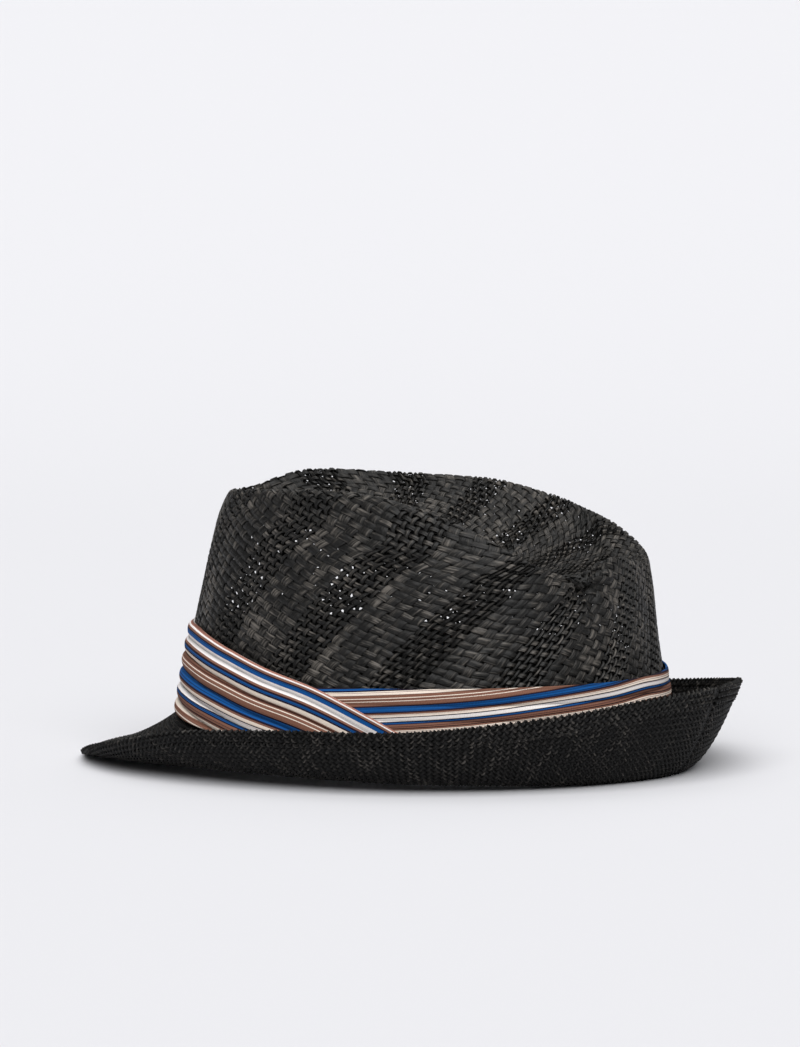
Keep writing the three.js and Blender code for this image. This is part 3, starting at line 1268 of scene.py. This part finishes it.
@dataclass
class Brim:
    """The brim: a close weave on the bias, folded under at its edge and joined behind."""

    form: Form
    lines: int = 360
    steps: int = 90
    depth_inside: float = 0.95
    depth_edge: float = 0.5
    edge_fade: float = 10
    fold_radius: float = 0.5
    fold_steps: int = 9
    hem: float = 8
    slant_deg: float = 45
    straw: Course = Course(count=2, pitch=1.85, width=1.25, depth=0.72, flat=False)
    spread: float = 0.09
    # Painted shade at the edges of the brim's strands.
    painted_edge_shade: float = 0.6
    underlay_step: float = 1.2
    underlay_depth: float = 0.12
    seam_gap: float = 2.8
    # Darker than the crown's straw: the extra darkness is painted shade for the brim's underside.
    finish: StrawFinish = StrawFinish(
        "brim_straw", dark=(0.002, 0.0019, 0.0018), middle=(0.011, 0.01, 0.009),
        light=(0.075, 0.068, 0.06), stops=(0.1, 0.4, 0.9), gloss=0.2, patch_weight=0.3,
    )

    def ground(self) -> Ground:
        """Makes the surface to lay the strands on.

        Returns:
            The middle of the brim's straw, out to the edge, round the fold and back under.
        """
        angles = self.form.even_angles(self.lines)
        out, high = self.form.brim_profile(angles, np.linspace(0, 1, self.steps))
        run, climb = np.gradient(out, axis=1), np.gradient(high, axis=1)
        size = np.hypot(run, climb)
        up_out, up_high = -climb / size, run / size
        length = np.cumsum(size, axis=1)
        left = length[:, -1:] - length
        blend = np.clip(left / self.edge_fade, 0, 1)
        blend = blend * blend * (3 - 2 * blend)
        depth = self.depth_edge + (self.depth_inside - self.depth_edge) * blend
        under = self.depth_edge + 2 * self.fold_radius
        top = np.stack([out - up_out * depth, high - up_high * depth], -1)
        back = np.stack([out - up_out * under, high - up_high * under], -1)
        turns = np.linspace(0, math.pi, self.fold_steps)[1:-1, None]
        lines = []
        for i, angle in enumerate(angles):
            normal = np.array([up_out[i, -1], up_high[i, -1]])
            ahead = np.array([normal[1], -normal[0]])
            edge = np.array([out[i, -1], high[i, -1]])
            centre = edge - normal * (self.depth_edge + self.fold_radius)
            fold = centre + self.fold_radius * (np.cos(turns) * normal + np.sin(turns) * ahead)
            flat = np.concatenate([top[i], fold, back[i][left[i] < self.hem][::-1]])
            here = np.full(len(flat), angle)
            lines.append(self.form.foot(here, flat[:, 1]) + self.form.outward(here) * flat[:, :1])
        middle = self.steps // 2
        ring = self.form.foot(angles, 0 * angles)
        ring = ring + self.form.outward(angles) * out[:, middle:middle + 1]
        girth = float(np.linalg.norm(np.diff(ring, axis=0), axis=1).sum())
        most = max(len(line) for line in lines)
        even = np.stack([resampled(line, most + 20) for line in lines])
        return Ground(self.form.stand(even), girth, closed=False)

    def build(self) -> None:
        """Weaves the brim and places its pieces."""
        material = self.finish.build()
        ground = self.ground()
        # The brim's strands get painted shade at their edges, and none where they pass under.
        weave = Weave(
            ground, self.slant_deg, (self.straw,), self.straw, seed=57, spread=self.spread,
            seam=self.seam_gap / 2, painted_edge_shade=self.painted_edge_shade, painted_under_shade=0.0,
        )
        for name, family in (
            ("brim_straw_one_way", Family.WARP), ("brim_straw_other_way", Family.WEFT)
        ):
            place(weave.weave(family)[False].mesh(name, material), "brim")
        place(self.hole_shade_ply(ground, material), "brim")

    def hole_shade_ply(self, ground: Ground, material: bpy.types.Material) -> bpy.types.Object:
        """Makes a dark sheet inside the brim to close the weave's holes: painted shade in them.

        Args:
            ground: The surface that the strands lie on.
            material: The ply's finish.

        Returns:
            The piece.
        """
        count = len(ground.grid)
        levels = np.arange(0, float(ground.tops.min()), self.underlay_step)
        around = np.repeat(np.linspace(0, ground.girth * (1 - 1e-6), count), len(levels))
        points, _ = ground.locate(around, np.tile(levels, count))
        piece = mesh_object("brim_hole_shade_ply", points, grid_quads(count, len(levels)), material)
        # No tone values here, so the straw finish reads near black: painted shade in the weave's
        # holes.
        piece.data.uv_layers.new(name="grain")
        finish_smooth(piece, 60)
        thicken(piece, self.underlay_depth)
        return piece


@dataclass
class Band:
    """The band: one strip of cloth laid in lengthwise pleats, its wide end over its narrow one.

    pleat_lean and pleat_round shape a pleat's swell, pleat_level is the share of its depth at
    which the cloth would lie flat, and the sway shifts the pleats a little on the way round.
    """

    form: Form
    low: float = 0.76
    gap: float = 0.3
    wall: float = 1.2
    layer_room: float = 0.7
    relief: float = 2.0
    # How dark the painted shade in the pleats' creases gets.
    crease_shade: float = 0.75
    thickness: float = 0.7
    pleat: float = 6.2
    pleat_lean: float = 0.75
    pleat_round: float = 0.55
    pleat_level: float = 0.7
    sway: float = 0.9
    sway_rate: float = 1.7
    edge_roll: float = 1.3
    step_deg: float = 1.0
    rows: int = 108
    section_steps: int = 200
    wall_steps: int = 90
    cut_width: float = 52
    cut_share: float = 0.78
    finish: ClothFinish = ClothFinish("band_cloth")

    def build(self) -> None:
        """Lays the strip round the crown and places it."""
        angles = np.arange(BAND_ROWS[0].angle, BAND_ROWS[-1].angle + 0.01, self.step_deg)
        at = {name: column(BAND_ROWS, name, angles) for name in BandRow._fields[1:]}
        sections = self.form.sections(turned(angles), self.section_steps)[:, :self.wall_steps]
        out = self.form.outward(angles)
        grid, cloth, shade = [], [], []
        along = 0.0
        for i, wall in enumerate(sections):
            high, pleated = at["high"][i] * self.form.band_height, at["pleat"][i]
            heights = np.linspace(high, self.low, self.rows)
            points = between(heights, wall[:, 2], wall)
            down = high - heights
            relief, swell = self.profile(down, high - self.low, pleated, angles[i])
            # Painted shade: darker cloth in the pleats' creases, more where the pleats show
            # deeper.
            creased = np.clip(1 - swell / self.pleat_level, 0, 1)
            shade.append(1 - self.crease_shade * pleated**0.5 * creased)
            layer = at["layer"][i] * (self.wall + self.layer_room + self.gap)
            points += out[i] * (self.gap + self.wall + layer + relief)[:, None]
            if grid:
                along += float(np.linalg.norm(points[0, :2] - grid[-1][0, :2]))
            grid.append(points)
            across = down * at["gather"][i] + at["slip"][i]
            cloth.append(np.stack([np.full(self.rows, along), across], -1))
        points = self.form.stand(np.concatenate(grid))
        quads = grid_quads(len(angles), self.rows)
        piece = mesh_object("band_wrap", points, quads, self.finish.build())
        add_map(piece, "cloth", np.concatenate(cloth))
        add_values(piece, "painted_crease_shade", np.concatenate(shade))
        finish_smooth(piece, 60)
        thicken(piece, self.thickness)
        place(piece, "band")

    def profile(
        self, down: Array, whole: float, depth: float, angle: float
    ) -> tuple[Array, Array]:
        """How far the cloth stands proud of its flat place, from its top edge down.

        Args:
            down: The distances from the top edge.
            whole: The strip's height here.
            depth: How much of the pleats' depth shows here.
            angle: The direction, in degrees.

        Returns:
            The relief at each distance, and how near the top of its pleat it is.
        """
        sway = self.sway * math.sin(math.radians(angle * self.sway_rate))
        share = ((down + sway) / self.pleat) % 1.0
        swell = np.sin(math.pi * share**self.pleat_lean) ** self.pleat_round
        edge = np.clip(np.minimum(down, whole - down) / self.edge_roll, 0, 1)
        rounded = np.sqrt(1 - (1 - edge) ** 2)
        relief = self.relief * depth * (swell - self.pleat_level)
        return relief - (self.wall - self.thickness) * (1 - rounded), swell


class Lamp(NamedTuple):
    """One soft light: the direction that it comes from, its spread and its power."""

    name: str
    where: tuple[float, float, float]
    spread_deg: float
    power: float


@dataclass
class Studio:
    """A pale floor that curves up behind, soft lights and the photograph's camera.

    aim and distance are in millimetres and the floor's sizes in metres. The floor is flat within
    flat_radius, bends over about the length of bend and then climbs by slope.
    """

    aim: tuple[float, float, float] = (6.9, 0.0, 48.4)
    azimuth_deg: float = 27.74
    elevation_deg: float = 5.49
    distance: float = 1800
    lens: float = 200
    sensor: float = 36
    clip: tuple[float, float] = (0.05, 80)
    shift: tuple[float, float] = (-0.0313, 0.1465)
    floor_size: float = 32
    floor_parts: int = 160
    floor_drop: float = 0.00005
    flat_radius: float = 1.5
    bend: float = 2.0
    slope: float = 0.12
    floor_colour: Colour = (0.715, 0.715, 0.74)
    floor_roughness: float = 0.9
    floor_gloss: float = 0.1
    world_colour: Colour = (0.98, 0.98, 1.0)
    world_strength: float = 0.14
    lamps: tuple[Lamp, ...] = (
        Lamp("key", (0.4, -0.66, 0.95), spread_deg=68, power=3.6),
        Lamp("top", (-0.3, 0.95, 1.4), spread_deg=60, power=0.7),
    )

    def camera(self) -> None:
        """Makes the camera at the photograph's angle."""
        turn, rise = math.radians(self.azimuth_deg), math.radians(self.elevation_deg)
        level = math.cos(rise)
        away = Vector((math.sin(turn) * level, -math.cos(turn) * level, math.sin(rise)))
        data = bpy.data.cameras.new("camera")
        data.sensor_fit = "HORIZONTAL"
        data.sensor_width = self.sensor
        data.lens = self.lens
        data.shift_x, data.shift_y = self.shift
        data.clip_start, data.clip_end = self.clip
        eye = bpy.data.objects.new("camera", data)
        eye.location = Vector(self.aim) * MM + away * self.distance * MM
        eye.rotation_euler = away.to_track_quat("Z", "Y").to_euler()
        bpy.context.scene.collection.objects.link(eye)
        bpy.context.scene.camera = eye

    def floor(self) -> None:
        """Makes the floor, with a wide curve up behind the hat."""
        bpy.ops.object.select_all(action="DESELECT")
        bpy.ops.mesh.primitive_grid_add(
            x_subdivisions=self.floor_parts, y_subdivisions=self.floor_parts, size=self.floor_size
        )
        plane = bpy.context.active_object
        plane.name = "floor"
        for vertex in plane.data.vertices:
            past = max(vertex.co.xy.length - self.flat_radius, 0)
            climb = self.slope * (math.hypot(past, self.bend) - self.bend)
            vertex.co.z = climb - self.floor_drop
        finish_smooth(plane, 60)
        made = Nodes("floor")
        made.surface({
            "Base Color": (*self.floor_colour, 1), "Roughness": self.floor_roughness,
            "Specular IOR Level": self.floor_gloss,
        })
        plane.data.materials.append(made.material)

    def lights(self) -> None:
        """Sets the soft lights and the pale surroundings."""
        world = bpy.data.worlds.new("surroundings")
        world.use_nodes = True
        back = world.node_tree.nodes["Background"]
        back.inputs["Color"].default_value = (*self.world_colour, 1)
        back.inputs["Strength"].default_value = self.world_strength
        bpy.context.scene.world = world
        bpy.context.scene.view_settings.view_transform = "Standard"
        for lamp in self.lamps:
            data = bpy.data.lights.new(lamp.name, "SUN")
            data.angle, data.energy = math.radians(lamp.spread_deg), lamp.power
            made = bpy.data.objects.new(lamp.name, data)
            made.location = lamp.where
            made.rotation_euler = Vector(lamp.where).to_track_quat("Z", "Y").to_euler()
            bpy.context.scene.collection.objects.link(made)

    def build(self) -> None:
        """Makes the whole studio."""
        self.camera()
        self.floor()
        self.lights()


def main() -> None:
    """Builds the studio, then the hat from the crown outwards."""
    logging.basicConfig(level=logging.INFO, format="%(name)s: %(message)s")
    form = Form()
    for part in (Studio(), Crown(form), Brim(form), Band(form)):
        part.build()
        LOG.info("%s is built", type(part).__name__.lower())


if __name__ == "__main__":
    main()
